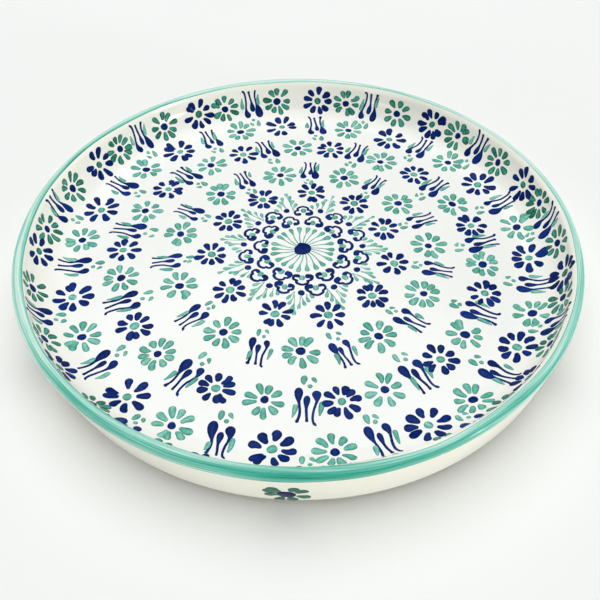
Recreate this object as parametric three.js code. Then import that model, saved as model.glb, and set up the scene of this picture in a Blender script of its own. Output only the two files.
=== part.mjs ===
// Hand painted ceramic plate: a round serving dish with a flat floor, a coved wall and a
// rounded lip, standing on a low foot ring. The fired clay carries a thin glaze coat on
// each side, a green band over the lip, and drops of cobalt paint on the floor.
//
// Millimetres, +Z up. The origin is on the plate's axis, in the plane that it stands on.
// Every round piece is turned with the same number of flats, so a coat and the clay under
// it share their surface exactly.

import * as THREE from 'three';

// Overall size of the finished plate
const PLATE_RADIUS = 150;
const PLATE_HEIGHT = 36;
const COAT = 0.5;

// Clay body
const FOOT_HEIGHT = 5;
const FLOOR_THICKNESS = 8;
const LIP_RADIUS = 2.5;
const COVE_WIDTH = 20.5;
const WALL_TAPER = 5.25;
const WALL_CURVE = 1.15;
const HEEL_WIDTH = 5;
const HEEL_HEIGHT = 3.5;

// Foot ring
const FOOT_RADIUS = 112;
const FOOT_TOP_WIDTH = 12;
const FOOT_SOLE_WIDTH = 6;
const FOOT_EDGE = 1;
const FOOT_CLEARANCE = 0.3;

// Green band: where it stops on the inside of the lip, and how far it runs down outside
const BAND_INNER_ANGLE = 130;
const BAND_DROP = 1.5;

// Painted drops
const CENTRE_DOT_RADIUS = 4.7;
const CENTRE_DOT_HEIGHT = 0.35;
const BEAD_RADIUS = 1.9;
const BEAD_HEIGHT = 0.3;
const BEAD_COUNT = 11;
const BEAD_RING_RADIUS = 34;
const BEAD_RING_START = 7;
const BEAD_DRIFT = 3.5;
const BEAD_DRIFT_DIRECTION = 170;
const PATTERN_CENTRE = [2.7, 3];

// Number of flats round each turned piece, and of steps along each curve of a profile
const PLATE_FLATS = 72;
const CENTRE_DOT_FLATS = 36;
const BEAD_FLATS = 16;
const COVE_STEPS = 6;
const LIP_STEPS = 6;
const WALL_STEPS = 3;
const HEEL_STEPS = 3;
const DROP_STEPS = 3;

// Heights and radii that follow from them
const CLAY_UNDERSIDE = FOOT_HEIGHT;
const CLAY_FLOOR = CLAY_UNDERSIDE + FLOOR_THICKNESS;
const GLAZED_FLOOR = CLAY_FLOOR + COAT;
const LIP_CENTRE_RADIUS = PLATE_RADIUS - COAT - LIP_RADIUS;
const LIP_CENTRE_HEIGHT = PLATE_HEIGHT - COAT - LIP_RADIUS;
const COVE_START = LIP_CENTRE_RADIUS - LIP_RADIUS - COVE_WIDTH;
const HEEL_TOP = CLAY_UNDERSIDE + HEEL_HEIGHT;

const clayMaterial = new THREE.MeshStandardMaterial({ color: 0xcfa98a, roughness: 0.9, metalness: 0 });
const whiteGlaze = new THREE.MeshStandardMaterial({ color: 0xf6f3ee, roughness: 0.18, metalness: 0 });
const creamGlaze = new THREE.MeshStandardMaterial({ color: 0xe9e3d3, roughness: 0.22, metalness: 0 });
const greenPaint = new THREE.MeshStandardMaterial({ color: 0x4fb398, roughness: 0.2, metalness: 0 });
const cobaltPaint = new THREE.MeshStandardMaterial({ color: 0x0f2079, roughness: 0.2, metalness: 0 });

function point(radius, height) {
  return new THREE.Vector2(radius, height);
}

// Points along an elliptical arc in the profile plane. Angle 0 points outwards, 90 up.
function arc(centreRadius, centreHeight, width, height, fromDegrees, toDegrees, steps) {
  const points = [];
  for (let i = 0; i <= steps; i += 1) {
    const angle = THREE.MathUtils.degToRad(THREE.MathUtils.lerp(fromDegrees, toDegrees, i / steps));
    points.push(point(centreRadius + width * Math.cos(angle), centreHeight + height * Math.sin(angle)));
  }
  return points;
}

// The outside wall leans in towards the foot, a little faster near the bottom
function wallRadius(height) {
  const fall = (LIP_CENTRE_HEIGHT - height) / (LIP_CENTRE_HEIGHT - HEEL_TOP);
  return LIP_CENTRE_RADIUS + LIP_RADIUS - WALL_TAPER * fall ** WALL_CURVE;
}

// Clay surface under each coat, in order from the foot outwards, over the lip, to the middle

function undersideAndWallProfile() {
  const heelRadius = wallRadius(HEEL_TOP) - HEEL_WIDTH;
  const footEdge = FOOT_RADIUS + FOOT_TOP_WIDTH / 2 + FOOT_CLEARANCE;
  const heel = arc(heelRadius, HEEL_TOP, HEEL_WIDTH, HEEL_HEIGHT, -90, 0, HEEL_STEPS);
  const bandEdge = LIP_CENTRE_HEIGHT - BAND_DROP;
  const wall = [];
  for (let i = 1; i <= WALL_STEPS; i += 1) {
    const height = THREE.MathUtils.lerp(HEEL_TOP, bandEdge, i / WALL_STEPS);
    wall.push(point(wallRadius(height), height));
  }
  return [point(footEdge, CLAY_UNDERSIDE), ...heel, ...wall];
}

function lipArc(fromDegrees, toDegrees, steps) {
  return arc(LIP_CENTRE_RADIUS, LIP_CENTRE_HEIGHT, LIP_RADIUS, LIP_RADIUS, fromDegrees, toDegrees, steps);
}

function bandProfile() {
  const edge = undersideAndWallProfile().at(-1);
  return [edge, ...lipArc(0, BAND_INNER_ANGLE, LIP_STEPS - 1)];
}

function wellProfile() {
  const lipEdge = lipArc(BAND_INNER_ANGLE, 180, 2);
  const coveHeight = LIP_CENTRE_HEIGHT - CLAY_FLOOR;
  const cove = arc(COVE_START, LIP_CENTRE_HEIGHT, COVE_WIDTH, coveHeight, 0, -90, COVE_STEPS);
  return [...lipEdge, ...cove.slice(1), point(0, CLAY_FLOOR)];
}

// Move each point of a profile out of the clay by one coat. Both coats at a shared edge
// use the whole surface to find its normal, so their ends meet in one face.
function coatOver(profile, surface) {
  return profile.map((here) => {
    const index = surface.findIndex((other) => other.distanceTo(here) === 0);
    const before = surface[Math.max(index - 1, 0)];
    const after = surface[Math.min(index + 1, surface.length - 1)];
    const along = after.clone().sub(before).normalize();
    return point(here.x + COAT * along.y, here.y - COAT * along.x);
  });
}

function turn(profile, flats) {
  return new THREE.LatheGeometry(profile, flats).rotateX(Math.PI / 2);
}

function closed(profile) {
  return [...profile, profile[0].clone()];
}

function namedMesh(name, geometry, material) {
  const mesh = new THREE.Mesh(geometry, material);
  mesh.name = name;
  return mesh;
}

const outside = undersideAndWallProfile();
const band = bandProfile();
const well = wellProfile();
const claySurface = [...outside, ...band.slice(1), ...well.slice(1)];

function clayBody() {
  const profile = [point(0, CLAY_UNDERSIDE), ...claySurface];
  return namedMesh('clay_body', turn(profile, PLATE_FLATS), clayMaterial);
}

function footRing() {
  const halfTop = FOOT_TOP_WIDTH / 2;
  const halfSole = FOOT_SOLE_WIDTH / 2;
  const section = [
    point(FOOT_RADIUS - halfTop, FOOT_HEIGHT),
    point(FOOT_RADIUS - halfSole - FOOT_EDGE, FOOT_EDGE),
    point(FOOT_RADIUS - halfSole, 0),
    point(FOOT_RADIUS + halfSole, 0),
    point(FOOT_RADIUS + halfSole + FOOT_EDGE, FOOT_EDGE),
    point(FOOT_RADIUS + halfTop, FOOT_HEIGHT),
  ];
  return namedMesh('foot_ring', turn(closed(section), PLATE_FLATS), clayMaterial);
}

function wallGlaze() {
  const coat = coatOver(outside, claySurface);
  coat[0] = point(outside[0].x, CLAY_UNDERSIDE - COAT);
  const section = closed([...coat, ...outside.toReversed()]);
  return namedMesh('wall_glaze', turn(section, PLATE_FLATS), creamGlaze);
}

function baseGlaze() {
  const radius = FOOT_RADIUS - FOOT_TOP_WIDTH / 2 - FOOT_CLEARANCE;
  const section = [
    point(0, CLAY_UNDERSIDE - COAT),
    point(radius, CLAY_UNDERSIDE - COAT),
    point(radius, CLAY_UNDERSIDE),
    point(0, CLAY_UNDERSIDE),
  ];
  return namedMesh('base_glaze', turn(section, PLATE_FLATS), creamGlaze);
}

function rimBand() {
  const section = closed([...coatOver(band, claySurface), ...band.toReversed()]);
  return namedMesh('rim_band', turn(section, PLATE_FLATS), greenPaint);
}

function wellGlaze() {
  const coat = coatOver(well, claySurface);
  coat[coat.length - 1] = point(0, GLAZED_FLOOR);
  const section = [...well.toReversed(), ...coat];
  return namedMesh('well_glaze', turn(section, PLATE_FLATS), whiteGlaze);
}

// A drop of paint: a low dome with a flat base
function paintDrop(name, radius, height, flats) {
  const dome = arc(0, 0, radius, height, 0, 90, DROP_STEPS);
  dome[dome.length - 1].x = 0;
  return namedMesh(name, turn([point(0, 0), ...dome], flats), cobaltPaint);
}

// The beads are set out by hand: they crowd a little towards one side of the ring
function beadAngle(index) {
  const even = BEAD_RING_START + (360 * index) / BEAD_COUNT;
  const drift = BEAD_DRIFT * Math.cos(THREE.MathUtils.degToRad(even - BEAD_DRIFT_DIRECTION));
  return THREE.MathUtils.degToRad(even + drift);
}

function paintedDrops() {
  const drops = new THREE.Group();
  drops.position.set(PATTERN_CENTRE[0], PATTERN_CENTRE[1], GLAZED_FLOOR);
  drops.add(paintDrop('centre_dot', CENTRE_DOT_RADIUS, CENTRE_DOT_HEIGHT, CENTRE_DOT_FLATS));
  for (let i = 0; i < BEAD_COUNT; i += 1) {
    const angle = beadAngle(i);
    const number = String(i + 1).padStart(2, '0');
    const bead = paintDrop(`blue_bead_${number}`, BEAD_RADIUS, BEAD_HEIGHT, BEAD_FLATS);
    bead.position.set(BEAD_RING_RADIUS * Math.cos(angle), BEAD_RING_RADIUS * Math.sin(angle), 0);
    drops.add(bead);
  }
  return drops;
}

const plate = new THREE.Group();
plate.add(clayBody(), footRing(), wallGlaze(), baseGlaze(), rimBand(), wellGlaze(), paintedDrops());

export default plate;
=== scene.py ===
"""Looks for the hand painted ceramic plate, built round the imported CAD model.

The plate's glaze coats, lip band and foot are remade as fine turned surfaces. Every brush
stroke is its own low drop of glaze paint that follows the surface of the plate. Lengths
are millimetres until they are written into a mesh.
"""
import bisect
import math
import random

import bpy
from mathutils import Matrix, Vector


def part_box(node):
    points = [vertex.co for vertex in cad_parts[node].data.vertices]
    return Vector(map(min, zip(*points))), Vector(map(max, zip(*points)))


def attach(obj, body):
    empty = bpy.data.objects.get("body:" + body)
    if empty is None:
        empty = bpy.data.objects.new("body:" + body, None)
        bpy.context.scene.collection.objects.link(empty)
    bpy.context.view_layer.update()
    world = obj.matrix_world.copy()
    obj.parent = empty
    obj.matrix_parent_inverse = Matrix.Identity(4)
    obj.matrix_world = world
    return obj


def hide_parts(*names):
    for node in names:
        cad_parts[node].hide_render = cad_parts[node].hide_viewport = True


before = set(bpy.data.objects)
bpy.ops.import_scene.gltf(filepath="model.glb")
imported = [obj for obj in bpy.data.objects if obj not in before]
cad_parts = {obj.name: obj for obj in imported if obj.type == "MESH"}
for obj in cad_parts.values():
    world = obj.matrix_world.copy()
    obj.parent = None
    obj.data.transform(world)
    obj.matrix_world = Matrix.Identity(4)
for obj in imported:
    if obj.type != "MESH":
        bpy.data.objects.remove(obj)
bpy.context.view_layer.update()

MM = 0.001

# ---- sizes of the plate

PLATE_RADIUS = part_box("rim_band")[1].x / MM
PLATE_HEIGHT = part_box("rim_band")[1].z / MM
FOOT_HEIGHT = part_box("foot_ring")[1].z / MM
FLOOR_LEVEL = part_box("centre_dot")[0].z / MM
COAT = 0.5
LIP_RADIUS = 2.5
COVE_WIDTH = 20.5
WALL_TAPER = 5.25
WALL_CURVE = 1.15
HEEL_WIDTH = 5.0
HEEL_HEIGHT = 3.5
FOOT_RADIUS = 112.0
FOOT_TOP_WIDTH = 12.0
FOOT_SOLE_WIDTH = 6.0
FOOT_EDGE = 1.0
FOOT_CLEARANCE = 0.3

LIP_CENTRE = PLATE_RADIUS - COAT - LIP_RADIUS
LIP_LEVEL = PLATE_HEIGHT - COAT - LIP_RADIUS
CLAY_FLOOR = FLOOR_LEVEL - COAT
COVE_START = LIP_CENTRE - LIP_RADIUS - COVE_WIDTH
HEEL_TOP = FOOT_HEIGHT + HEEL_HEIGHT

# Steps round every turned piece, and along each stretch of the profile
TURNED_STEPS = 360
FLOOR_STEPS = 40
COVE_STEPS = 32
LIP_STEPS = 24
WALL_STEPS = 24
HEEL_STEPS = 12
UNDERSIDE_STEPS = 6

# ---- camera and light

CAMERA_TARGET = (0.95, -53.4, LIP_LEVEL)
CAMERA_DISTANCE = 333.5
CAMERA_ELEVATION = 48.25
CAMERA_LENS = 40.73
SENSOR_WIDTH = 36.0
CLIP_START = 10.0

# Name, place and size in metres, power in watts and colour
LIGHTS = (
    ("overhead_softbox", (-0.1, 0.55, 3.0), 4.0, 93.0, (0.98, 0.992, 1.0)),
    ("front_left_softbox", (-1.0, -1.4, 0.3), 0.5, 2.5, (1.0, 1.0, 1.0)),
    ("front_right_softbox", (2.95, -1.87, 0.32), 0.6, 42.0, (1.0, 1.0, 1.0)),
)
STUDIO_FLOOR_METRES = 60
SKY_LOW = (0.98, 0.97, 0.885)
SKY_HIGH = (0.25, 0.255, 0.26)
SKY_PALE_BELOW = 0.2
SKY_DIM_ABOVE = 0.5


def make_camera():
    data = bpy.data.cameras.new("camera")
    data.lens = CAMERA_LENS
    data.sensor_width = SENSOR_WIDTH
    data.clip_start = CLIP_START * MM
    camera = bpy.data.objects.new("camera", data)
    tilt = math.radians(CAMERA_ELEVATION)
    back = Vector((0, -math.cos(tilt), math.sin(tilt)))
    camera.location = (Vector(CAMERA_TARGET) + back * CAMERA_DISTANCE) * MM
    camera.rotation_euler = (math.pi / 2 - tilt, 0, 0)
    bpy.context.collection.objects.link(camera)
    bpy.context.scene.camera = camera


def area_light(name, place, size, power, colour):
    data = bpy.data.lights.new(name, "AREA")
    data.shape = "DISK"
    data.size = size
    data.energy = power
    data.color = colour
    light = bpy.data.objects.new(name, data)
    light.location = place
    light.rotation_euler = (-Vector(place)).to_track_quat("-Z", "Y").to_euler()
    bpy.context.collection.objects.link(light)


def make_sky():
    """Pale low down, where a white room would be, and dimmer high up, so gloss stays clear."""
    world = bpy.data.worlds.new("studio")
    world.use_nodes = True
    tree = world.node_tree
    direction = tree.nodes.new("ShaderNodeTexCoord").outputs["Generated"]
    split = tree.nodes.new("ShaderNodeSeparateXYZ")
    ramp = tree.nodes.new("ShaderNodeValToRGB")
    tree.links.new(direction, split.inputs["Vector"])
    tree.links.new(split.outputs["Z"], ramp.inputs["Fac"])
    tree.links.new(ramp.outputs["Color"], tree.nodes["Background"].inputs["Color"])
    ramp.color_ramp.elements[0].position = SKY_PALE_BELOW
    ramp.color_ramp.elements[0].color = (*SKY_LOW, 1.0)
    ramp.color_ramp.elements[1].position = SKY_DIM_ABOVE
    ramp.color_ramp.elements[1].color = (*SKY_HIGH, 1.0)
    bpy.context.scene.world = world


def make_light():
    for light in LIGHTS:
        area_light(*light)
    make_sky()
    bpy.context.scene.view_settings.view_transform = "Standard"


# ---- the plate's surface

# The clay surface is one profile, from the middle of the floor over the lip to the foot.
# A place on the plate is the distance walked along that profile and the angle round it.


def arc(centre, level, width, height, start, end, steps):
    points = []
    for i in range(steps + 1):
        angle = math.radians(start + (end - start) * i / steps)
        points.append((centre + width * math.cos(angle), level + height * math.sin(angle)))
    return points


def wall_radius(level):
    fall = (LIP_LEVEL - level) / (LIP_LEVEL - HEEL_TOP)
    return LIP_CENTRE + LIP_RADIUS - WALL_TAPER * fall**WALL_CURVE


def clay_profile():
    floor = [(COVE_START * i / FLOOR_STEPS, CLAY_FLOOR) for i in range(FLOOR_STEPS)]
    cove = arc(COVE_START, LIP_LEVEL, COVE_WIDTH, LIP_LEVEL - CLAY_FLOOR, -90, 0, COVE_STEPS)
    lip = arc(LIP_CENTRE, LIP_LEVEL, LIP_RADIUS, LIP_RADIUS, 180, 0, LIP_STEPS)
    wall = []
    for i in range(1, WALL_STEPS + 1):
        level = LIP_LEVEL + (HEEL_TOP - LIP_LEVEL) * i / WALL_STEPS
        wall.append((wall_radius(level), level))
    heel_centre = wall_radius(HEEL_TOP) - HEEL_WIDTH
    heel = arc(heel_centre, HEEL_TOP, HEEL_WIDTH, HEEL_HEIGHT, 0, -90, HEEL_STEPS)
    foot_edge = FOOT_RADIUS + FOOT_TOP_WIDTH / 2 + FOOT_CLEARANCE
    underside = []
    for i in range(1, UNDERSIDE_STEPS + 1):
        radius = heel_centre + (foot_edge - heel_centre) * i / UNDERSIDE_STEPS
        underside.append((radius, FOOT_HEIGHT))
    return floor + cove + lip[1:] + wall + heel[1:] + underside


PROFILE = clay_profile()


def profile_walk():
    walked = [0.0]
    for (r0, z0), (r1, z1) in zip(PROFILE, PROFILE[1:]):
        walked.append(walked[-1] + math.hypot(r1 - r0, z1 - z0))
    return walked


WALK = profile_walk()
WALK_END = WALK[-1]


def profile_normal(index):
    before = PROFILE[max(index - 1, 0)]
    after = PROFILE[min(index + 1, len(PROFILE) - 1)]
    along = (after[0] - before[0], after[1] - before[1])
    length = math.hypot(*along)
    return -along[1] / length, along[0] / length


NORMALS = [profile_normal(i) for i in range(len(PROFILE))]


def walk_to(side, level):
    """Distance along the profile to a height on the "inside" or the "outside" wall."""
    top = max(range(len(PROFILE)), key=lambda i: PROFILE[i][1])
    span = range(0, top) if side == "inside" else range(top, len(PROFILE) - 1)
    for i in span:
        low, high = sorted((PROFILE[i][1], PROFILE[i + 1][1]))
        if low <= level <= high and high > low:
            share = (level - PROFILE[i][1]) / (PROFILE[i + 1][1] - PROFILE[i][1])
            return WALK[i] + share * (WALK[i + 1] - WALK[i])
    raise ValueError(level)


def smooth_step(low, high, value):
    share = min(max((value - low) / (high - low), 0.0), 1.0)
    return share * share * (3 - 2 * share)


def surface_at(walked):
    walked = min(max(walked, 0.0), WALK_END)
    i = min(bisect.bisect_right(WALK, walked) - 1, len(WALK) - 2)
    share = (walked - WALK[i]) / (WALK[i + 1] - WALK[i])
    (r0, z0), (r1, z1) = PROFILE[i], PROFILE[i + 1]
    (a0, b0), (a1, b1) = NORMALS[i], NORMALS[i + 1]
    radius = r0 + share * (r1 - r0)
    level = z0 + share * (z1 - z0)
    return radius, level, a0 + share * (a1 - a0), b0 + share * (b1 - b0)


# Waves round the plate: the size of each, how many go round it, and where it starts
WOBBLE_OUT = ((0.22, 2, 0.8), (0.08, 5, 2.1))
WOBBLE_UP = ((0.16, 2, 2.6), (0.07, 3, 0.0))
# These keep the wobble inside the true circle and below the true height
WOBBLE_INSET = 0.3
WOBBLE_DROP = 0.25


def waves(terms, angle):
    return sum(size * math.sin(count * angle + start) for size, count, start in terms)


def throwing_wobble(radius, angle):
    """How far the potter's hands left the wall out of true, out and up, growing to the lip."""
    reach = smooth_step(COVE_START, PLATE_RADIUS, radius)
    out = waves(WOBBLE_OUT, angle) - WOBBLE_INSET
    up = waves(WOBBLE_UP, angle) - WOBBLE_DROP
    return out * reach, up * reach


WALL_WALK = [walk_to("outside", level) for level in (LIP_LEVEL - 2, HEEL_TOP)]
# The swing dies out under the plate, this far past the heel and before the foot
SWING_FADE_START = 8
SWING_FADE_END = 1
WALL_SWING = 2.1
WALL_SWING_DIRECTION = math.radians(-40)


def wall_swing(walked, angle):
    """The foot was turned off centre, so the wall above it is steeper on one side."""
    top, bottom = WALL_WALK
    share = min(max((walked - top) / (bottom - top), 0.0), 1.0)
    share *= 1 - smooth_step(bottom + SWING_FADE_START, WALK_END - SWING_FADE_END, walked)
    return WALL_SWING * share * math.cos(angle - WALL_SWING_DIRECTION)


def plate_point(walked, angle, lift):
    """A point lifted this far off the clay, in metres."""
    radius, level, out, up = surface_at(walked)
    push_out, push_up = throwing_wobble(radius, angle)
    radius += out * lift + push_out + wall_swing(walked, angle)
    level += up * lift + push_up
    return radius * math.cos(angle) * MM, radius * math.sin(angle) * MM, level * MM


# ---- mesh helpers

# Edges past these angles stay sharp
TURNED_SHARP = 40
STROKE_SHARP = 60


def add_piece(name, points, faces, material, slot, sharp, marks=None):
    """One mesh that rides on the plate. marks are three values a point for its material."""
    mesh = bpy.data.meshes.new(name)
    mesh.from_pydata(points, [], faces)
    mesh.materials.append(material)
    if marks:
        layer = mesh.attributes.new("brush", "FLOAT_COLOR", "POINT")
        flat = [value for mark in marks for value in (*mark, 1.0)]
        layer.data.foreach_set("color", flat)
    mesh.shade_smooth()
    mesh.set_sharp_from_angle(angle=math.radians(sharp))
    piece = bpy.data.objects.new(name, mesh)
    bpy.context.collection.objects.link(piece)
    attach(piece, "root")
    return piece


ANGLES = [2 * math.pi * k / TURNED_STEPS for k in range(TURNED_STEPS)]


def turned_piece(name, rows, clockwise, material, slot, marks=None):
    """A closed piece from rows of points round the axis. A row of one point is a pole.

    clockwise says how the rows run round the section, seen with radius to the right and
    height up, so that every face points away from the solid.
    """
    points = []
    starts = []
    for row in rows:
        starts.append(len(points))
        points += row
    pairs = list(zip(range(len(rows)), range(1, len(rows))))
    if len(rows[0]) > 1:
        pairs.append((len(rows) - 1, 0))
    faces = []
    for lower, upper in pairs:
        a, b = starts[lower], starts[upper]
        for i in range(TURNED_STEPS):
            j = (i + 1) % TURNED_STEPS
            if len(rows[lower]) == 1:
                faces.append((a, b + j, b + i))
            elif len(rows[upper]) == 1:
                faces.append((a + i, a + j, b))
            else:
                faces.append((a + i, a + j, b + j, b + i))
    if clockwise:
        faces = [face[::-1] for face in faces]
    return add_piece(name, points, faces, material, slot, TURNED_SHARP, marks)


def turned_coat(name, start, end, lift, steps, material, slot):
    """A closed coat over the plate between two walked distances.

    start(angle) and end(angle) give the coat's edges, and lift(share, angle) its thickness
    at a share of the way across. steps counts those across its face and its underside.
    """
    over, under = steps
    sides = [(i / over, True) for i in range(over + 1)]
    sides += [(1 - i / under, False) for i in range(under + 1)]
    rows = []
    marks = []
    for share, outer in sides:
        pole = start(0) == 0 and share == 0
        row = []
        for angle in ANGLES[:1] if pole else ANGLES:
            walked = start(angle) + share * (end(angle) - start(angle))
            row.append(plate_point(walked, angle, lift(share, angle) if outer else 0.0))
            marks.append((share, math.cos(angle), math.sin(angle)))
        rows.append(row)
    return turned_piece(name, rows, True, material, slot, marks)


def turned_solid(name, section, material, slot):
    """A solid of revolution. Its section is points of radius and height, anticlockwise."""
    rows = []
    for radius, level in section:
        row = [(radius * math.cos(a) * MM, radius * math.sin(a) * MM, level * MM) for a in ANGLES]
        rows.append(row if radius else row[:1])
    return turned_piece(name, rows, False, material, slot)


# ---- materials

# Paint colours run from a thin wash of glaze colour to a full, pooled coat
COBALT_WASH = [
    (0.0, (0.1, 0.2, 0.6)),
    (0.3, (0.005, 0.036, 0.225)),
    (0.6, (0.001, 0.015, 0.126)),
    (1.0, (0.0005, 0.005, 0.06)),
]
GREEN_WASH = [
    (0.0, (0.62, 0.77, 0.71)),
    (0.2, (0.33, 0.65, 0.55)),
    (0.5, (0.115, 0.425, 0.335)),
    (0.75, (0.045, 0.305, 0.225)),
    (1.0, (0.008, 0.12, 0.075)),
]

# The band is laid with a wider brush and stays brighter where it is full
BAND_WASH = [
    (0.0, (0.62, 0.78, 0.715)),
    (0.2, (0.33, 0.655, 0.555)),
    (0.5, (0.108, 0.445, 0.348)),
    (0.75, (0.042, 0.355, 0.262)),
    (1.0, (0.01, 0.18, 0.12)),
]

# Each paint's depth of colour in its middle and at its edge, and how far it varies
PAINTS = {
    "cobalt": {"wash": COBALT_WASH, "thin": 0.48, "thick": 0.82, "spread": 0.26, "ior": 1.13},
    "green": {"wash": GREEN_WASH, "thin": 0.46, "thick": 0.96, "spread": 0.28, "ior": 1.25},
}

# Glaze colours. From a share of its way out, up the wall, the well's is darker and creamier: partly
# glaze running thin, partly painted shade on the inner wall.
WHITE_GLAZE = {
    "clear": (0.915, 0.92, 0.89),
    "tinted": (0.895, 0.895, 0.86),
    "speck": (0.3, 0.22, 0.17),
    "thin_and_shade_from": 0.78,
}
CREAM_GLAZE = {
    "clear": (0.865, 0.87, 0.765),
    "tinted": (0.84, 0.84, 0.73),
    "speck": (0.28, 0.2, 0.14),
}
# The well's darker, creamier colour up the inner wall: thin glaze and painted shade
SHADED_WALL_GLAZE = (0.88, 0.87, 0.79)

CLAY_TONES = [(0.3, (0.5, 0.33, 0.23)), (0.7, (0.64, 0.46, 0.33))]
CLAY_FLECK = (0.78, 0.66, 0.54)
FLOOR_TONES = [(0.3, (0.842, 0.845, 0.835)), (0.7, (0.862, 0.865, 0.855))]

# How full the lip band's colour is, from its inner edge to its outer edge. It is paler over the
# crest, where the paint is thin and a highlight is painted in.
BAND_FULLNESS_AND_HIGHLIGHT = (
    (0.05, 0.42), (0.17, 0.3), (0.28, 0.44), (0.37, 0.62), (0.46, 0.73), (0.6, 0.64), (0.82, 0.54)
)
BAND_FULLNESS_AND_HIGHLIGHT_ENDS = (0.6, 0.66)
# Painted reflection: the band is paler on the sides and back of the plate, more so towards its
# outer edge
BAND_REFLECTION_FADE = -0.45
BAND_REFLECTION_PALE = -0.16
BAND_LEFT_LINE = 0.42

# The band's streaks are drawn out along the lip. They and slow drifts change its depth.
BAND_STREAK_STRETCH = (2.2, 2.2, 9.0)
BAND_STREAKS = 1.6
BAND_DRIFT = 0.8


class Shading:
    """One material and its node tree, with short ways to add nodes to it."""

    def __init__(self, name):
        self.material = bpy.data.materials.new(name)
        self.material.use_nodes = True
        self.tree = self.material.node_tree
        self.shader = self.tree.nodes["Principled BSDF"]

    def add(self, kind, inputs=None, **settings):
        node = self.tree.nodes.new(kind)
        for key, value in settings.items():
            setattr(node, key, value)
        for key, value in (inputs or {}).items():
            self.feed(node.inputs[key], value)
        return node

    def feed(self, socket, value):
        if isinstance(value, bpy.types.NodeSocket):
            self.tree.links.new(value, socket)
        else:
            socket.default_value = value

    def finish(self, inputs):
        for key, value in inputs.items():
            self.feed(self.shader.inputs[key], value)
        return self.material

    def place(self):
        return self.add("ShaderNodeTexCoord").outputs["Object"]

    def noise(self, scale, detail=3.0, roughness=0.55, vector=None):
        inputs = {"Scale": scale, "Detail": detail, "Roughness": roughness}
        inputs["Vector"] = vector or self.place()
        return self.add("ShaderNodeTexNoise", inputs).outputs["Fac"]

    def maths(self, operation, first, second=0.0, third=0.0):
        node = self.add("ShaderNodeMath", {0: first, 1: second, 2: third}, operation=operation)
        return node.outputs["Value"]

    def swung(self, value, strength, base):
        """base, raised or lowered as value goes above or below a half."""
        return self.maths("MULTIPLY_ADD", self.maths("SUBTRACT", value, 0.5), strength, base)

    def ranged(self, value, low, high, to_low, to_high):
        inputs = {"Value": value, 1: low, 2: high, 3: to_low, 4: to_high}
        return self.add("ShaderNodeMapRange", inputs).outputs["Result"]

    def ramp(self, value, stops):
        node = self.add("ShaderNodeValToRGB", {"Fac": value})
        elements = node.color_ramp.elements
        while len(elements) < len(stops):
            elements.new(1.0)
        for element, (place, colour) in zip(elements, stops):
            element.position = place
            element.color = (*colour, 1.0)
        return node.outputs["Color"]

    def curve(self, value, points, ends):
        node = self.add("ShaderNodeFloatCurve", {"Value": value})
        line = node.mapping.curves[0]
        line.points[0].location = (0.0, ends[0])
        line.points[1].location = (1.0, ends[1])
        for place, height in points:
            line.points.new(place, height)
        node.mapping.update()
        return node.outputs["Value"]

    def mixed(self, share, first, second):
        node = self.add("ShaderNodeMix", data_type="RGBA")
        self.feed(node.inputs["Factor"], share)
        self.feed(node.inputs[6], first)
        self.feed(node.inputs[7], second)
        return node.outputs[2]

    def gloss(self, scale, low, high):
        """Roughness that changes in soft patches."""
        return self.ranged(self.noise(scale, 2.0), 0.3, 0.7, low, high)

    def bump(self, height, strength, distance):
        inputs = {"Height": height, "Strength": strength, "Distance": distance}
        return self.add("ShaderNodeBump", inputs).outputs["Normal"]

    def brush(self):
        """The marks kept on a mesh. On a stroke: across, along, and how loaded the brush was.

        On a coat: across, and the cosine and sine of the direction round the plate.
        """
        node = self.add("ShaderNodeAttribute", attribute_name="brush")
        split = self.add("ShaderNodeSeparateColor", {"Color": node.outputs["Color"]})
        return split.outputs["Red"], split.outputs["Green"], split.outputs["Blue"]


def glaze_material(name, clear, tinted, speck, thin_and_shade_from=1.0):
    """A glossy fired glaze: slow drifts of tint, a few iron specks and an orange peel skin.

    Past the given share of its way across the coat its colour turns darker and creamier, partly as
    thin glaze over the clay, partly as painted shade on the inner wall.
    """
    look = Shading(name)
    drift = look.ranged(look.noise(14.0, 4.0), 0.35, 0.7, 0.0, 1.0)
    body = look.mixed(drift, (*clear, 1.0), (*tinted, 1.0))
    if thin_and_shade_from < 1.0:
        across, _, _ = look.brush()
        # Darker and creamier up the inner wall: thin glaze and painted shade
        thin = look.ranged(across, thin_and_shade_from, 1.0, 0.0, 1.0)
        body = look.mixed(thin, body, (*SHADED_WALL_GLAZE, 1.0))
    dots = look.add("ShaderNodeTexVoronoi", {"Scale": 105.0, "Vector": look.place()})
    near = look.ranged(dots.outputs["Distance"], 0.015, 0.05, 1.0, 0.0)
    rare = look.ranged(look.noise(33.0, 1.0), 0.68, 0.72, 0.0, 0.75)
    spots = look.maths("MULTIPLY", near, rare)
    return look.finish({
        "Base Color": look.mixed(spots, body, (*speck, 1.0)),
        "Roughness": look.gloss(60.0, 0.1, 0.2),
        "IOR": 1.5,
        "Specular IOR Level": 0.32,
        "Normal": look.bump(look.noise(420.0, 3.0), 0.1, 0.2 * MM),
    })


def paint_material(name, wash, thin, thick, spread, ior):
    """Raised brush colour: pooled and darker at its edge, thinner where the brush pressed."""
    look = Shading(name)
    across, _, load = look.brush()
    pooled = look.maths("POWER", across, 2.2)
    cloud = look.ranged(look.noise(520.0, 3.0, 0.6), 0.3, 0.7, -0.5, 0.5)
    amount = look.maths("MULTIPLY_ADD", pooled, thick - thin, thin)
    amount = look.maths("MULTIPLY_ADD", cloud, spread, amount)
    amount = look.swung(load, 0.5, amount)
    return look.finish({
        "Base Color": look.ramp(amount, wash),
        "Roughness": look.gloss(300.0, 0.12, 0.24),
        "IOR": ior,
        "Normal": look.bump(look.noise(900.0, 2.0), 0.08, 0.1 * MM),
    })


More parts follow.
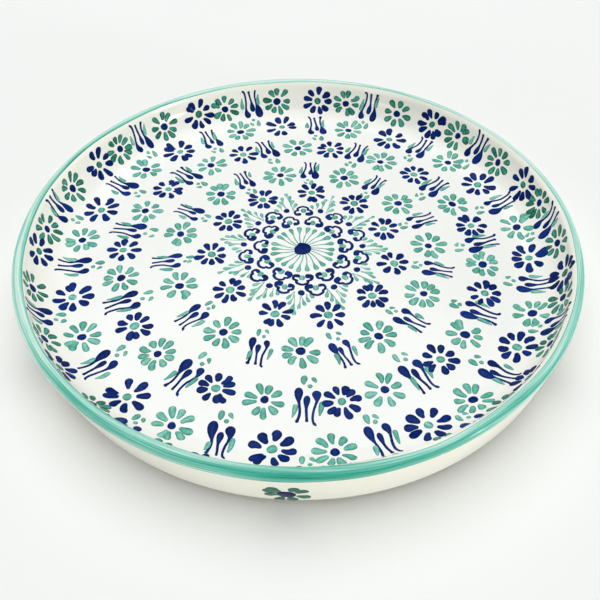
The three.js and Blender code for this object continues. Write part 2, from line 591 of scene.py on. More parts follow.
def band_material(name):
    """The lip's green: thin over the crest with a painted highlight, full outside, brush streaked,
    paled on the sides and back as a painted reflection.
    """
    look = Shading(name)
    across, cosine, sine = look.brush()
    ring = look.add("ShaderNodeCombineXYZ", {"X": cosine, "Y": sine, "Z": across}).outputs["Vector"]
    drawn_out = look.add("ShaderNodeMapping", {"Vector": ring, "Scale": BAND_STREAK_STRETCH})
    streaks = look.noise(1.6, 5.0, 0.65, drawn_out.outputs["Vector"])
    slow = look.noise(1.1, 2.0, 0.5, ring)
    # Fullness across the band, paler over the crest where a highlight is painted in
    amount = look.curve(across, BAND_FULLNESS_AND_HIGHLIGHT, BAND_FULLNESS_AND_HIGHLIGHT_ENDS)
    amount = look.swung(streaks, BAND_STREAKS, amount)
    amount = look.swung(slow, BAND_DRIFT, amount)
    # Painted reflection: paler on the sides and back of the plate, most at the band's outer edge
    behind = look.maths("SQRT", look.maths("ADD", sine, 1.0))
    sides = look.ranged(behind, 0.0, 0.65, 0.0, 1.05)
    back = look.ranged(behind, 1.0, 1.4, 0.0, 0.36)
    painted_reflection = look.maths("ADD", sides, back)
    reflection_paling = look.maths("MULTIPLY_ADD", across, BAND_REFLECTION_FADE, BAND_REFLECTION_PALE)
    amount = look.maths("MULTIPLY_ADD", painted_reflection, reflection_paling, amount)
    left = look.ranged(cosine, -0.9, 0.2, BAND_LEFT_LINE, 0.0)
    inner_line = look.maths("MULTIPLY", look.ranged(across, 0.06, 0.24, 1.0, 0.0), left)
    amount = look.maths("ADD", amount, inner_line)
    return look.finish({
        "Base Color": look.ramp(amount, BAND_WASH),
        "Roughness": look.gloss(200.0, 0.14, 0.28),
        "Specular IOR Level": 0.17,
        "Normal": look.bump(streaks, 0.12, 0.3 * MM),
    })


def clay_material(name):
    """Bare fired earthenware: slow changes of tone, fine grain and pale grog."""
    look = Shading(name)
    tone = look.noise(35.0, 5.0, 0.6)
    grains = look.noise(1400.0, 2.0, 0.7)
    fleck = look.ranged(grains, 0.62, 0.7, 0.0, 0.6)
    return look.finish({
        "Base Color": look.mixed(fleck, look.ramp(tone, CLAY_TONES), (*CLAY_FLECK, 1.0)),
        "Roughness": look.ranged(grains, 0.3, 0.7, 0.75, 0.95),
        "Normal": look.bump(grains, 0.35, 0.3 * MM),
    })


def floor_material(name):
    look = Shading(name)
    tones = look.ramp(look.noise(3.0, 2.0), FLOOR_TONES)
    return look.finish({"Base Color": tones, "Roughness": 0.85})


# ---- brush strokes


class Layer:
    """All the strokes of one colour that belong to one part of the pattern."""

    def __init__(self, name, colour):
        self.name = name
        self.colour = colour
        self.points = []
        self.faces = []
        self.marks = []


ACROSS = [-1.0, -0.84, -0.5, 0.0, 0.5, 0.84, 1.0]
PAINT_HEIGHT = {"cobalt": 0.26, "green": 0.2}
# A stroke this wide on each side stands at its full height
FULL_RISE_HALF = 1.2
# How far a fuller brush shows in each colour, and how much strokes differ in it
LOAD_TELLS = {"cobalt": 0.3, "green": 1.0}
LOAD_JITTER = 0.22
# How unsteady a stroke's edge is
EDGE_RIPPLE = 0.06
# The least half width, and how far along the path its direction is measured
LEAST_HALF = 0.02
DIRECTION_REACH = 0.02
# How far a stroke's edge and underside sink into the glaze
SUNK = -0.04

layers = {}
hand = random.Random(20)


def layer_for(part, colour):
    name = f"{part}_{colour}"
    if name not in layers:
        layers[name] = Layer(name, colour)
    return layers[name]


def even_ends(count):
    """Shares from 0 to 1, closer together near both ends, where a stroke is rounded."""
    return [(1 - math.cos(math.pi * i / count)) / 2 for i in range(count + 1)]


def curve_point(path, share):
    """A point on the smooth curve through the path's points (Catmull-Rom)."""
    spans = len(path) - 1
    place = min(share * spans, spans - 1e-9)
    i = int(place)
    t = place - i
    p1, p2 = path[i], path[i + 1]
    p0 = path[i - 1] if i > 0 else tuple(2 * a - b for a, b in zip(p1, p2))
    p3 = path[i + 2] if i + 2 <= spans else tuple(2 * b - a for a, b in zip(p1, p2))
    return tuple(
        0.5 * (2 * b + (c - a) * t + (2 * a - 5 * b + 4 * c - d) * t * t
               + (3 * b - a - 3 * c + d) * t**3)
        for a, b, c, d in zip(p0, p1, p2, p3)
    )


def lay_stroke(part, colour, locate, path, width, steps=9, height=1.0, load=0.5):
    """Lay one drop of paint along a path of (across, out) points.

    locate(across, out) gives the place on the plate as a walked distance and an angle.
    width(share) is the stroke's half width at a share of its length.
    """
    layer = layer_for(part, colour)
    load = 0.5 + LOAD_TELLS[colour] * (load - 0.5) + hand.uniform(-LOAD_JITTER, LOAD_JITTER)
    ripple = hand.uniform(0, 2 * math.pi)
    first = len(layer.points)
    columns = len(ACROSS)
    shares = even_ends(steps)
    halves = [max(width(share), LEAST_HALF) for share in shares]
    widest = max(halves)
    for share, half in zip(shares, halves):
        x, y = curve_point(path, share)
        x0, y0 = curve_point(path, max(share - DIRECTION_REACH, 0.0))
        x1, y1 = curve_point(path, min(share + DIRECTION_REACH, 1.0))
        length = math.hypot(x1 - x0, y1 - y0) or 1.0
        side = (y1 - y0) / length, -(x1 - x0) / length
        half *= 1 + EDGE_RIPPLE * math.sin(ripple + 5 * share)
        rise = PAINT_HEIGHT[colour] * height * min(1.0, half / FULL_RISE_HALF) ** 0.5
        rise *= min(1.0, half / (0.4 * widest))
        for u in ACROSS:
            walked, angle = locate(x + side[0] * half * u, y + side[1] * half * u)
            lift = SUNK + (rise - SUNK) * math.sqrt(1 - u * u)
            layer.points.append(plate_point(walked, angle, COAT + lift))
            layer.marks.append((abs(u), share, load))
    for i in range(steps):
        row = first + i * columns
        above = row + columns
        for j in range(columns - 1):
            layer.faces.append((row + j, row + j + 1, above + j + 1, above + j))
        layer.faces.append((row, above, above + columns - 1, above - 1))
    layer.faces.append(tuple(first + j for j in reversed(range(columns))))
    last = first + steps * columns
    layer.faces.append(tuple(last + j for j in range(columns)))


def path_length(path):
    return sum(math.dist(a, b) for a, b in zip(path, path[1:]))


def rounded(share, start, end):
    """1 along a stroke, falling to 0 as a half circle over its first and last stretch."""
    value = 1.0
    if share < start:
        value *= math.sqrt(max(0.0, 1 - (1 - share / start) ** 2))
    if share > 1 - end:
        value *= math.sqrt(max(0.0, 1 - (1 - (1 - share) / end) ** 2))
    return value


# The brush is lifted out of its first blob between these shares of the stroke
BLOB_FULL_AT = 0.03
BLOB_GONE_AT = 0.16
# A petal or leaf swells between these shares of its length
LEAF_SWELL = (-0.15, 0.68)
# A tadpole's head swells this many half widths before its end
TADPOLE_NECK = 3.3


def drop_width(length, tail, head, swell_from, swell_to, blob=0.0):
    """Half widths of a drop: a tail that swells into a head, both with round ends.

    blob is the extra half width where the brush was first set down, at the tail's end.
    """
    start = (tail + blob) / length
    end = head / length

    def width(share):
        swell = smooth_step(swell_from, swell_to, share)
        pause = blob * (1 - smooth_step(BLOB_FULL_AT, BLOB_GONE_AT, share))
        return (tail + pause + (head - tail) * swell) * rounded(share, start, end)

    return width


def leaf_width(path, half, tail):
    """A petal or leaf: narrow at the start of its path and round at the end."""
    return drop_width(path_length(path), tail * half, half, *LEAF_SWELL)


def tadpole_width(path, head, tail, blob):
    length = path_length(path)
    return drop_width(length, tail, head, 1 - TADPOLE_NECK * head / length, 1 - head / length, blob)


def dot_width(half):
    def width(share):
        return half * math.sqrt(max(0.0, 1 - (2 * share - 1) ** 2))

    return width


def nubbed_width(half):
    """A full drop with blunt shoulders and a small nub where the brush was set down."""

    def width(share):
        body = max(0.0, 1 - abs((share - 0.54) / 0.46) ** 2.5) ** 0.48
        nub = 0.24 * rounded(share, 0.05, 1.0)
        return half * max(body, nub)

    return width


def lay_dot(part, colour, locate, x, y, half, height=1.0, load=0.5):
    """A round drop, a little out of round."""
    lean = hand.uniform(0, math.pi)
    long_half = half * hand.uniform(1.0, 1.1)
    dx, dy = long_half * math.cos(lean), long_half * math.sin(lean)
    path = [(x - dx, y - dy), (x + dx, y + dy)]
    lay_stroke(part, colour, locate, path, dot_width(half), 8, height, load)


# ---- where motifs stand

REPEATS = 11
SHIFT_NEAR = (2.7, 3.0)
SHIFT_FAR = (1.6, -2.0)
# The near shift holds up to a radius and then fades into the far one
SHIFT_HOLDS_TO = 40
SHIFT_FADE = 70.0
SHIFT_GAIN = 1.39

# Degrees by which the painter ran ahead of even spacing, as waves round a ring: size,
# number round it, and where it peaks
MEDALLION_DRIFT = ((3.5, 1, 170),)
INNER_DRIFT = ((2.1, 1, 262), (0.5, 2, 234))
RING_DRIFT = ((2.4, 1, 270), (1.35, 2, 234))


def pattern_centre(radius):
    """The rings were set out by eye: the middle ones stand off the axis, the outer less so."""
    near = math.exp(-((radius / SHIFT_FADE) ** 2)) if radius > SHIFT_HOLDS_TO else 1.0
    share = min(1.0, near * SHIFT_GAIN)
    return tuple(share * a + (1 - share) * b for a, b in zip(SHIFT_NEAR, SHIFT_FAR))


def drifted(degrees, drift):
    slips = (size * math.cos(math.radians(count * degrees - peak)) for size, count, peak in drift)
    return degrees + sum(slips)


def flat_spot(x0, y0, heading):
    """A motif's own frame on the floor: out is along its heading, across is clockwise."""

    def locate(across, out):
        x = x0 + out * math.cos(heading) + across * math.sin(heading)
        y = y0 + out * math.sin(heading) - across * math.cos(heading)
        return math.hypot(x, y), math.atan2(y, x)

    return locate


def floor_spot(radius, degrees, turn=0.0):
    """The frame of a motif in a ring, which heads away from the middle of the pattern."""
    centre_x, centre_y = pattern_centre(radius)
    heading = math.radians(degrees)
    x0 = centre_x + radius * math.cos(heading)
    y0 = centre_y + radius * math.sin(heading)
    return flat_spot(x0, y0, heading + turn)


def wall_spot(walked, degrees, turn, flip=1):
    """The same on a wall. With flip -1, out is up the outside wall."""
    radius = surface_at(walked)[0]
    heading = math.radians(degrees)

    def locate(across, out):
        over = across * math.cos(turn) + out * math.sin(turn)
        up = out * math.cos(turn) - across * math.sin(turn)
        return walked + flip * up, heading - flip * over / radius

    return locate


# The rings are a little wider from side to side, and more so on one side
RING_STRETCH = 0.016
RING_LEAN = 0.006
# How far a motif's place and tilt are off, in millimetres and degrees
SLIP_ROUND = 0.5
SLIP_OUT = 0.4
FLOOR_TILT = 4.0


def ring_of_spots(radius, phase, drift, wander=1.0):
    """Eleven places round a ring, each a little off by hand."""
    for k in range(REPEATS):
        even = phase + 360.0 * k / REPEATS
        sideways = math.cos(math.radians(even))
        stretch = 1 + RING_STRETCH * sideways**2 + RING_LEAN * sideways
        slip = math.degrees(hand.gauss(0, SLIP_ROUND) * wander / radius)
        reach = radius * stretch + hand.gauss(0, SLIP_OUT) * wander
        turn = math.radians(hand.gauss(0, FLOOR_TILT))
        yield floor_spot(reach, drifted(even, drift) + slip, turn)


# ---- motifs


def petal_path(inner, outer, angle, bend):
    middle = (inner + outer) / 2
    path = []
    for reach, swing in ((inner, 0.0), (middle, bend), (outer, 0.0)):
        path.append((reach * math.cos(angle + swing), reach * math.sin(angle + swing)))
    return path


# A daisy's petals: their number, and start, end and half width as shares of its size
PETAL_COUNTS = (8, 9, 9, 9, 10)
PETAL_START = (0.33, 0.42)
PETAL_END = (0.9, 1.08)
PETAL_HALF = {"cobalt": (0.18, 0.225), "green": (0.175, 0.222)}
# How narrow a petal starts, as a share of its half width
PETAL_TAIL = (0.25, 0.5)
# Some daisies have one petal that ran into the next
MERGED_CHANCE = 0.4
MERGED_SHIFT = 0.42
HEART_HEIGHT = 1.15


def lay_daisy(part, locate, petals, heart, size, heart_half, load, plump=1.0):
    """A ring of drop petals round a drop of the other colour."""
    count = hand.choice(PETAL_COUNTS)
    start = hand.uniform(0, 2 * math.pi)
    spacing = 2 * math.pi / count
    merged = hand.randrange(count) if hand.random() < MERGED_CHANCE else -1
    for k in range(count):
        angle = start + spacing * k + hand.gauss(0, 0.06)
        if k == merged:
            angle += MERGED_SHIFT * spacing
        inner = size * hand.uniform(*PETAL_START)
        outer = size * hand.uniform(*PETAL_END)
        path = petal_path(inner, outer, angle, hand.gauss(0, 0.06))
        half = plump * size * hand.uniform(*PETAL_HALF[petals])
        width = leaf_width(path, half, hand.uniform(*PETAL_TAIL))
        lay_stroke(f"{part}_petals", petals, locate, path, width, 9, 1.0, load)
    x, y = hand.gauss(0, 0.25), hand.gauss(0, 0.25)
    heart_half *= hand.uniform(0.9, 1.12)
    lay_dot(f"{part}_hearts", heart, locate, x, y, heart_half, HEART_HEIGHT, load)


# A triple's tadpoles, as paths from tail to head, with head and blob half widths
RIGHT_TADPOLE = [(3.2, 9.5), (2.6, 5.5), (2.7, 1.5), (3.9, -3.5), (4.3, -9.6)]
MIDDLE_TADPOLE = [(-1.3, 9.0), (-0.7, 5.0), (-0.1, 1.0), (0.1, -5.2)]
LEFT_TADPOLE = [
    (-5.4, 8.7), (-4.4, 9.0), (-3.6, 6.0), (-3.6, 1.5), (-4.5, -3.0), (-4.3, -6.0), (-3.1, -9.0)
]
TRIPLE = ((RIGHT_TADPOLE, 2.6, 0.35), (MIDDLE_TADPOLE, 1.65, 0.25), (LEFT_TADPOLE, 2.2, 0.5))
TAIL_HALF = 0.68
FLANK_LEAVES = (
    [(4.9, 7.0), (4.1, 3.6), (3.9, 0.2)],
    [(-6.0, 4.4), (-6.4, 1.0), (-6.5, -2.4)],
)
SPRIG_LEAVES = (
    [(2.3, -11.3), (2.5, -13.6), (2.3, -16.7)],
    [(-3.3, -12.9), (-2.3, -14.3), (-0.9, -15.6)],
)
SPRIG_DOT = (-0.9, -11.0)
FLANK_HALF = 1.45
SPRIG_HALVES = (1.6, 1.2)
SPRIG_DOT_HALF = 1.2


def by_hand(path, size, lean, wander):
    """A path scaled, leaned over and moved a little, as a painter repeats a stroke."""
    shift_x, shift_y = hand.gauss(0, wander), hand.gauss(0, wander)
    moved = []
    for x, y in path:
        wobble = hand.gauss(0, 0.12)
        moved.append((size * (x + lean * y + shift_x + wobble), size * (y + shift_y)))
    return moved


def lay_triple(part, locate, size):
    """Three tadpole strokes side by side, flanked and headed by small green leaves."""
    lean = hand.gauss(0, 0.06)
    for path, head, blob in TRIPLE:
        moved = by_hand(path, size, lean, 0.15)
        head *= size * hand.uniform(0.88, 1.1)
        width = tadpole_width(moved, head, TAIL_HALF * size, blob * hand.uniform(0.0, 1.6))
        lay_stroke(f"{part}_tadpoles", "cobalt", locate, moved, width, 18)
    for path in FLANK_LEAVES:
        moved = by_hand(path, size, lean, 0.5)
        reach = hand.uniform(0.9, 1.3)
        foot = moved[0][1]
        moved = [(x, foot + reach * (y - foot)) for x, y in moved]
        width = leaf_width(moved, FLANK_HALF * size * hand.uniform(0.85, 1.1), 0.25)
        lay_stroke(f"{part}_leaves", "green", locate, moved, width)
    for path, half in zip(SPRIG_LEAVES, SPRIG_HALVES):
        moved = by_hand(path, size, lean, 0.35)
        width = leaf_width(moved, half * size * hand.uniform(0.85, 1.1), 0.3)
        lay_stroke(f"{part}_leaves", "green", locate, moved, width)
    x, y = by_hand([SPRIG_DOT], size, lean, 0.3)[0]
    lay_dot(f"{part}_leaves", "green", locate, x, y, SPRIG_DOT_HALF * size)


# A trefoil's outline, by degrees from the middle of its outer lobe
OUTLINE_STEPS = 30
BULGE = 0.1
BULGE_SPREAD = 20
NOTCH_AT = 60
NOTCH_SPREAD = 13
CURL = 0.5
CURL_SPAN = 34


def trefoil_outline(width, height, gap, notch):
    """Three lobes with a notch on each side of the outer one, curling in at both ends."""
    path = []
    end = 180 - gap
    for i in range(OUTLINE_STEPS + 1):
        degrees = -end + 2 * end * i / OUTLINE_STEPS
        side = abs(degrees)
        reach = 1 + BULGE * math.exp(-((side / BULGE_SPREAD) ** 2))
        reach -= notch * math.exp(-(((side - NOTCH_AT) / NOTCH_SPREAD) ** 2))
        reach -= CURL * smooth_step(end - CURL_SPAN, end, side)
        angle = math.radians(degrees)
        path.append((width * reach * math.sin(angle), height * reach * math.cos(angle)))
    return path


def lay_trefoil(part, locate, size):
    """An open three lobed line, heavier at one end, with a green drop in its mouth."""
    width_half = size * hand.uniform(1.04, 1.14)
    height_half = size * hand.uniform(0.9, 1.0)
    path = trefoil_outline(width_half, height_half, hand.uniform(28, 36), hand.uniform(0.2, 0.36))
    if hand.random() < 0.65:
        path.reverse()
    line = hand.uniform(0.78, 0.92)
    heavy = hand.uniform(0.85, 1.05)
    light = hand.uniform(0.4, 0.75)

    def width(share):
        swell = heavy * smooth_step(0.76, 0.9, share)
        hook = light * (1 - smooth_step(0.06, 0.16, share))
        return (line + swell + hook) * rounded(share, 0.035, 0.055)

    lay_stroke(f"{part}_lines", "cobalt", locate, path, width, 46)
    x, y = hand.gauss(0, 0.5), hand.gauss(-0.7, 0.6)
    lean = hand.uniform(-0.6, 0.6)
    path = [(x - lean, y - 2.0), (x + lean, y + 2.0)]
    lay_stroke(f"{part}_drops", "green", locate, path, dot_width(hand.uniform(1.6, 1.9)), 8)


# A ray's path, as distances from the centre and how far it leans there
RAY_START = ((4.4, -0.16), (9.0, -0.08), (13.5, 0.0))
RAY_END = 18.3
RAY_END_LEAN = 0.02
RAY_HEAD = 1.75
RAY_TAIL = 0.36


def lay_rays(part):
    """Thin green strokes from the centre dot, each ending in a flared drop."""
    count = 2 * REPEATS
    locate = floor_spot(0.01, 0)
    for k in range(count):
        angle = 2 * math.pi * (k + hand.gauss(0, 0.08)) / count
        reach = RAY_END + hand.gauss(0, 0.4)
        path = []
        for distance, lean in (*RAY_START, (reach, RAY_END_LEAN)):
            path.append((distance * math.sin(angle + lean), distance * math.cos(angle + lean)))
        head = RAY_HEAD * hand.uniform(0.88, 1.1)
        width = drop_width(path_length(path), RAY_TAIL, head, 0.55, 0.96)
        lay_stroke(part, "green", locate, path, width, 15, 0.85)


FAN_LOAD = 0.35
FAN_HEAD = (1.0, 1.25)
FAN_TAIL = 0.28
# A strand's bulb starts to swell this far before its end
FAN_BULB = 4.8
FAN_STRANDS = (
    ((3.8, -1.2), (3.5, 5.0), (3.2, 10.5), (3.4, 15.6)),
    ((3.6, 2.6), (4.0, 7.0), (5.4, 12.4)),
    ((3.8, 0.6), (4.6, 4.6), (6.6, 8.6)),
    ((3.9, -0.9), (5.2, 1.4), (7.6, 4.6)),
    ((0.5, 2.2), (0.2, 6.5), (0.9, 12.2)),
    ((-0.1, 2.2), (-0.6, 5.2), (-1.7, 9.0)),
    ((-2.9, 0.6), (-3.3, 3.4), (-4.6, 6.8)),
    ((-4.6, 0.2), (-5.4, 1.6), (-6.8, 3.4)),
)


def lay_fan(part, locate):
    """A plume beside each bead: thin strands that peel off, each with a small bulb."""
    for strand in FAN_STRANDS:
        bend = hand.gauss(0, 0.35)
        stretch = hand.uniform(0.92, 1.08)
        x0, y0 = strand[0]
        path = [(x0, y0)]
        for x, y in strand[1:]:
            path.append((x0 + stretch * (x - x0) + bend, y0 + stretch * (y - y0)))
        head = hand.uniform(*FAN_HEAD)
        length = path_length(path)
        width = drop_width(length, FAN_TAIL, head, 1 - FAN_BULB / length, 1 - 1.0 / length)
        lay_stroke(part, "green", locate, path, width, 15, 0.8, FAN_LOAD)


# ---- the pattern

# Rings of trefoils: name, radius, phase and size
TREFOIL_RINGS = (("inner_trefoil", 23.3, 8.5, 4.5), ("outer_trefoil", 31.8, 22.8, 4.45))
MEDALLION_WANDER = 0.6


def paint_medallion():
    lay_rays("centre_rays")
    for part, radius, phase, size in TREFOIL_RINGS:
        for locate in ring_of_spots(radius, phase, MEDALLION_DRIFT, MEDALLION_WANDER):
            lay_trefoil(part, locate, size)


# The centre dot's path, as shares of its half width
CENTRE_DOT_PATH = ((-1.06, 0.12), (-0.6, 0.02), (0.2, 0.0), (1.0, 0.0))
CENTRE_DOT_FULLNESS = 1.04
BEAD_HEIGHT = 1.25


def paint_beads():
    """The centre dot and the beads stand exactly where their CAD drops are."""
    names = ["centre_dot"] + [f"blue_bead_{k:02d}" for k in range(1, REPEATS + 1)]
    for name in names:
        low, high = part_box(name)
        centre = (low + high) / 2 / MM
        half = (high.x - low.x) / 2 / MM
        locate = flat_spot(centre.x, centre.y, math.pi / 2)
        part = f"painted_{name}"
        if name == "centre_dot":
            path = [(half * x, half * y) for x, y in CENTRE_DOT_PATH]
            width = nubbed_width(CENTRE_DOT_FULLNESS * half)
            lay_stroke(part, "cobalt", locate, path, width, 24, BEAD_HEIGHT)
        else:
            lay_dot(part, "cobalt", locate, 0, 0, half, BEAD_HEIGHT)
            heading = math.atan2(centre.y - SHIFT_NEAR[1], centre.x - SHIFT_NEAR[0])
            lay_fan("bead_fans", flat_spot(centre.x, centre.y, heading))


GREEN_HEART_HALF = 2.2
BLUE_HEART_HALF = 2.25


def blue_daisies(part, spots, size, load=0.5):
    for locate in spots:
        name = f"{part}_blue_daisy"
        lay_daisy(name, locate, "cobalt", "green", size, GREEN_HEART_HALF, load)


def green_daisies(part, spots, size, load=0.5):
    for locate in spots:
        name = f"{part}_green_daisy"
        lay_daisy(name, locate, "green", "cobalt", size, BLUE_HEART_HALF, load)


def triples(part, spots, size):
    for locate in spots:
        lay_triple(part, locate, size)


# Rings of motifs on the floor: kind, name, radius, phase, drift and size
FLOOR_RINGS = (
    (blue_daisies, "ring_1", 50.3, 21.0, INNER_DRIFT, 9.3),
    (green_daisies, "ring_2", 71.0, 5.0, INNER_DRIFT, 10.2),
    (triples, "ring_2", 74.6, 21.8, INNER_DRIFT, 0.9),
    (blue_daisies, "ring_3", 100.0, 15.3, RING_DRIFT, 9.6),
    (green_daisies, "ring_3", 99.4, 28.1, RING_DRIFT, 9.8),
    (triples, "ring_3", 101.1, 5.7, RING_DRIFT, 1.02),
    (blue_daisies, "ring_4", 124.6, 31.9, RING_DRIFT, 10.9),
    (green_daisies, "ring_4", 125.2, 11.8, RING_DRIFT, 10.0),
    (triples, "ring_4", 125.5, 21.5, RING_DRIFT, 1.0),
)


def paint_floor_rings():
    for lay_motifs, part, radius, phase, drift, size in FLOOR_RINGS:
        lay_motifs(part, ring_of_spots(radius, phase, drift), size)


# The ring on the inside wall, which climbs at the sides, on the right and at the front
WALL_RING_DEPTH = 10.3
WALL_RING_WALK = walk_to("inside", LIP_LEVEL - WALL_RING_DEPTH)
WALL_RING_STRETCH = 2.0
WALL_RING_LEAN = 0.7
WALL_RING_FRONT = 1.3
# The inside wall's daisies get a fuller load, darker paint, as painted shade on the wall
WALL_SHADE_LOAD = 1.2
WALL_SLIP = 0.2
WALL_TILT = 5


def wall_spots(phase):
    for k in range(REPEATS):
        even = phase + 360.0 * k / REPEATS
        slip = hand.gauss(0, WALL_SLIP)
        turn = math.radians(hand.gauss(0, WALL_TILT))
        sideways = math.cos(math.radians(even))
        higher = WALL_RING_STRETCH * sideways**2 + WALL_RING_LEAN * sideways
        higher += WALL_RING_FRONT * max(0.0, -math.sin(math.radians(even)))
        walked = WALL_RING_WALK + higher + hand.gauss(0, SLIP_OUT)
        yield wall_spot(walked, drifted(even, RING_DRIFT) + slip, turn)


def paint_inside_wall():
    blue_daisies("wall", wall_spots(21.2), 10.6, WALL_SHADE_LOAD)
    green_daisies("wall_left", wall_spots(31.8), 9.8, WALL_SHADE_LOAD)
    green_daisies("wall_right", wall_spots(13.4), 9.8, WALL_SHADE_LOAD)
    triples("wall", wall_spots(6.4), 1.04)


OUTSIDE_FLOWERS = 6
OUTSIDE_FLOWER_LEVEL = 16.0
OUTSIDE_FLOWER_START = -91.8
# Their size, heart's half width, load of paint and plumpness
OUTSIDE_LOOK = (10.4, 3.9, 2.6, 1.4)


def paint_outside_wall():
    walked = walk_to("outside", OUTSIDE_FLOWER_LEVEL)
    for k in range(OUTSIDE_FLOWERS):
        degrees = OUTSIDE_FLOWER_START + 360.0 * k / OUTSIDE_FLOWERS
        locate = wall_spot(walked, degrees, hand.uniform(0, 1), -1)
        lay_daisy("outside_green_daisy", locate, "green", "cobalt", *OUTSIDE_LOOK)


def finish_layers(paints):
    """Each layer of strokes becomes a piece. A painted drop stands for its CAD node."""
    for layer in layers.values():
        paint = paints[layer.colour]
        slot = f"{layer.colour}_paint"
        shape = (layer.points, layer.faces)
        piece = add_piece(layer.name, *shape, paint, slot, STROKE_SHARP, layer.marks)
        if layer.name.startswith("painted_"):
            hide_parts(layer.name.removeprefix("painted_").removesuffix("_cobalt"))


# ---- turned pieces

LIP_START = walk_to("inside", LIP_LEVEL)
BAND_DROP = 1.6
BAND_OUTER_EDGE = walk_to("outside", LIP_LEVEL - BAND_DROP)
BAND_INNER_ANGLE = 130.0
BAND_INNER_LEAN = 18.0
# Where the brush strayed: direction and spread in degrees, and how far over the lip
BAND_STRAYS = ((155, 24, -20), (268, 8, 12), (291, 9, -30))
BAND_INNER_WANDER = ((0.14, 7, 0.0), (0.1, 17, 1))
BAND_OUTER_WANDER = ((0.35, 3, 0.4), (0.25, 8, 0.0), (0.15, 23, 2))
BAND_THICKNESS = 0.12
BAND_RIDGE = 0.02


def band_inner_edge(angle):
    """The band reaches further over the lip on one side of the plate than on the other."""
    lip_angle = BAND_INNER_ANGLE - BAND_INNER_LEAN * math.cos(angle)
    for direction, spread, stray in BAND_STRAYS:
        apart = (math.degrees(angle) - direction + 180) % 360 - 180
        lip_angle += stray * math.exp(-((apart / spread) ** 2))
    wander = waves(BAND_INNER_WANDER, angle)
    return LIP_START + LIP_RADIUS * math.radians(180 - lip_angle) + wander


def band_outer_edge(angle):
    return BAND_OUTER_EDGE + waves(BAND_OUTER_WANDER, angle)


def band_lift(share, angle):
    """The band stands a little proud, ridged by the brush's hairs."""
    edge = min(share, 1 - share)
    ridges = BAND_RIDGE * math.sin(38 * share) * math.sin(5 * angle + 9 * share)
    raised = BAND_THICKNESS * smooth_step(0.0, 0.06, edge)
    return COAT + raised + ridges * smooth_step(0.0, 0.1, edge)


FINGER_RING = 0.012
WALL_SWELL = 0.05


def glaze_lift(share, angle):
    """The glaze lies in soft rings left by the potter's fingers under it."""
    walked = share * LIP_START
    return COAT + FINGER_RING * math.sin(walked / 1.9) * smooth_step(6, 20, walked)


def wall_lift(share, angle):
    """Slow swells that the glaze left as it ran, none at the coat's edges."""
    swell = WALL_SWELL * math.sin(9 * share + 2 * math.sin(angle))
    return COAT + swell * smooth_step(0, 0.1, min(share, 1 - share))


# Steps across each coat's face and underside
WELL_STEPS = (90, 40)
BAND_STEPS = (36, 18)
WALL_COAT_STEPS = (48, 24)


def make_turned_pieces(white, cream, green, clay):
    def middle(angle):
        return 0.0

    def foot_side(angle):
        return WALK_END

    well = turned_coat(
        "white_well_glaze", middle, band_inner_edge, glaze_lift, WELL_STEPS, white, "white_glaze"
    )
    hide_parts("well_glaze")
    edges = (band_inner_edge, band_outer_edge)
    band = turned_coat("green_lip_band", *edges, band_lift, BAND_STEPS, green, "green_paint")
    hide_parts("rim_band")
    edges = (band_outer_edge, foot_side)
    wall = turned_coat("cream_wall_glaze", *edges, wall_lift, WALL_COAT_STEPS, cream, "cream_glaze")
    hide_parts("wall_glaze")
    make_base_glaze(cream)
    make_foot_ring(clay)


BASE_STEPS = 24
BASE_BEVEL = 0.25


def make_base_glaze(cream):
    edge = FOOT_RADIUS - FOOT_TOP_WIDTH / 2 - FOOT_CLEARANCE
    face = FOOT_HEIGHT - COAT
    bottom = [(edge * i / BASE_STEPS, face) for i in range(BASE_STEPS)]
    bevel = [(edge - BASE_BEVEL, face), (edge, face + BASE_BEVEL)]
    top = [(edge, FOOT_HEIGHT), (0.0, FOOT_HEIGHT)]
    base = turned_solid("cream_base_glaze", bottom + bevel + top, cream, "cream_glaze")
    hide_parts("base_glaze")


FLANK_STEPS = 9
GROOVE = 0.06
GROOVE_TURNS = 25
FOOT_EDGE_STEPS = 5


def foot_flank(start, end, groove_start):
    """A side of the foot between two points of its section, grooved by the turning tool."""
    points = []
    for i in range(1, FLANK_STEPS):
        share = i / FLANK_STEPS
        groove = GROOVE * math.sin(share * GROOVE_TURNS + groove_start)
        radius = start[0] + share * (end[0] - start[0])
        points.append((radius + groove, start[1] + share * (end[1] - start[1])))
    return points


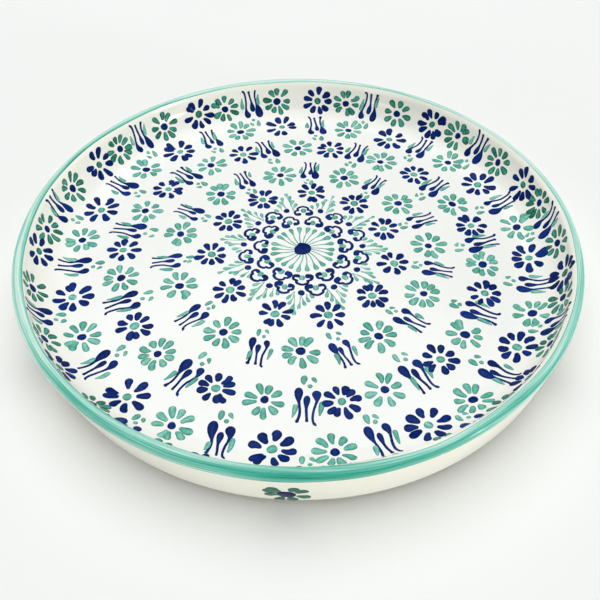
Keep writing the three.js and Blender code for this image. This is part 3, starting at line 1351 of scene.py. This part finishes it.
def make_foot_ring(clay):
    """The turned foot: sloping sides, softened edges and the marks of the turning tool."""
    half_top = FOOT_TOP_WIDTH / 2
    half_sole = FOOT_SOLE_WIDTH / 2
    inner_top = (FOOT_RADIUS - half_top, FOOT_HEIGHT)
    inner_low = (FOOT_RADIUS - half_sole - FOOT_EDGE, FOOT_EDGE)
    outer_low = (FOOT_RADIUS + half_sole + FOOT_EDGE, FOOT_EDGE)
    outer_top = (FOOT_RADIUS + half_top, FOOT_HEIGHT)
    edge = (FOOT_EDGE, FOOT_EDGE, FOOT_EDGE)
    section = [inner_top, *foot_flank(inner_top, inner_low, 0)]
    section += arc(FOOT_RADIUS - half_sole, *edge, 180, 270, FOOT_EDGE_STEPS)
    section += arc(FOOT_RADIUS + half_sole, *edge, 270, 360, FOOT_EDGE_STEPS)
    section += [*foot_flank(outer_low, outer_top, 1), outer_top]
    foot = turned_solid("bare_foot_ring", section, clay, "fired_clay")
    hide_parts("foot_ring")


def make_clay_body(clay):
    """The fired clay, with the same small throwing faults as its coats."""
    rows = [[plate_point(0.0, 0.0, 0.0)]]
    rows += [[plate_point(walked, angle, 0.0) for angle in ANGLES] for walked in WALK[1:]]
    rows.append([(0.0, 0.0, FOOT_HEIGHT * MM)])
    body = turned_piece("fired_clay_body", rows, True, clay, "fired_clay")
    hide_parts("clay_body")


def make_floor():
    bpy.ops.mesh.primitive_plane_add(size=STUDIO_FLOOR_METRES, location=(0, 0, 0))
    floor = bpy.context.object
    floor.name = "studio_floor"
    floor.data.materials.append(floor_material("pale_floor"))


# ---- build

make_camera()
make_light()
make_floor()

white_glaze = glaze_material("white_glaze", **WHITE_GLAZE)
cream_glaze = glaze_material("cream_glaze", **CREAM_GLAZE)
green_band = band_material("green_band")
bare_clay = clay_material("bare_clay")
paints = {colour: paint_material(f"{colour}_paint", **look) for colour, look in PAINTS.items()}

make_clay_body(bare_clay)
make_turned_pieces(white_glaze, cream_glaze, green_band, bare_clay)
paint_medallion()
paint_beads()
paint_floor_rings()
paint_inside_wall()
paint_outside_wall()
finish_layers(paints)
